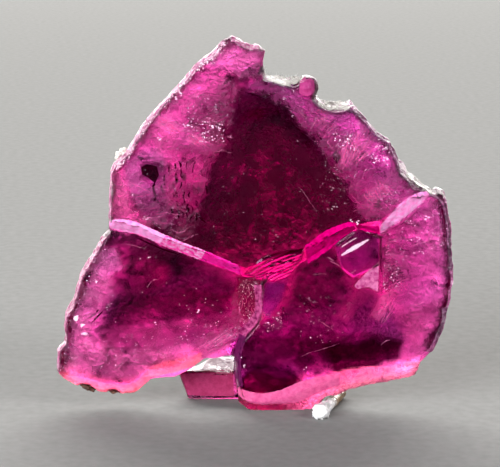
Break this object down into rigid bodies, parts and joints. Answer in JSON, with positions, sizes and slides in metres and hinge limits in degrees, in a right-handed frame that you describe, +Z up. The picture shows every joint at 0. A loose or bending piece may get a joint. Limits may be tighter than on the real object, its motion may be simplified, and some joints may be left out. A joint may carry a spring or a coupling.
{
  "type": "tourmaline slice",
  "caption": "Broken slab of pink-red tourmaline crystal with stepped plates and frosted edges, standing on its lower edge beside a small pale matrix stub.",
  "frame": {"origin": "on the ground under the middle of the specimen's box", "axes": "+X to the right as seen from the front, -Y out of the front face, +Z up"},
  "size_m": [0.04, 0.0134, 0.0382],
  "materials": {
    "tourmaline": "clear magenta crystal, glossy on its faces and frosted on its broken edges",
    "pale_matrix": "pale waxy tip and tan-brown stained shaft",
    "dark_matrix": "dull dark brown crumb"
  },
  "bodies": {
    "root": {"tourmaline_slab": "tourmaline", "matrix_stub": "pale_matrix", "matrix_fleck_left": "dark_matrix", "matrix_fleck_right": "dark_matrix"}
  },
  "joints": []
}
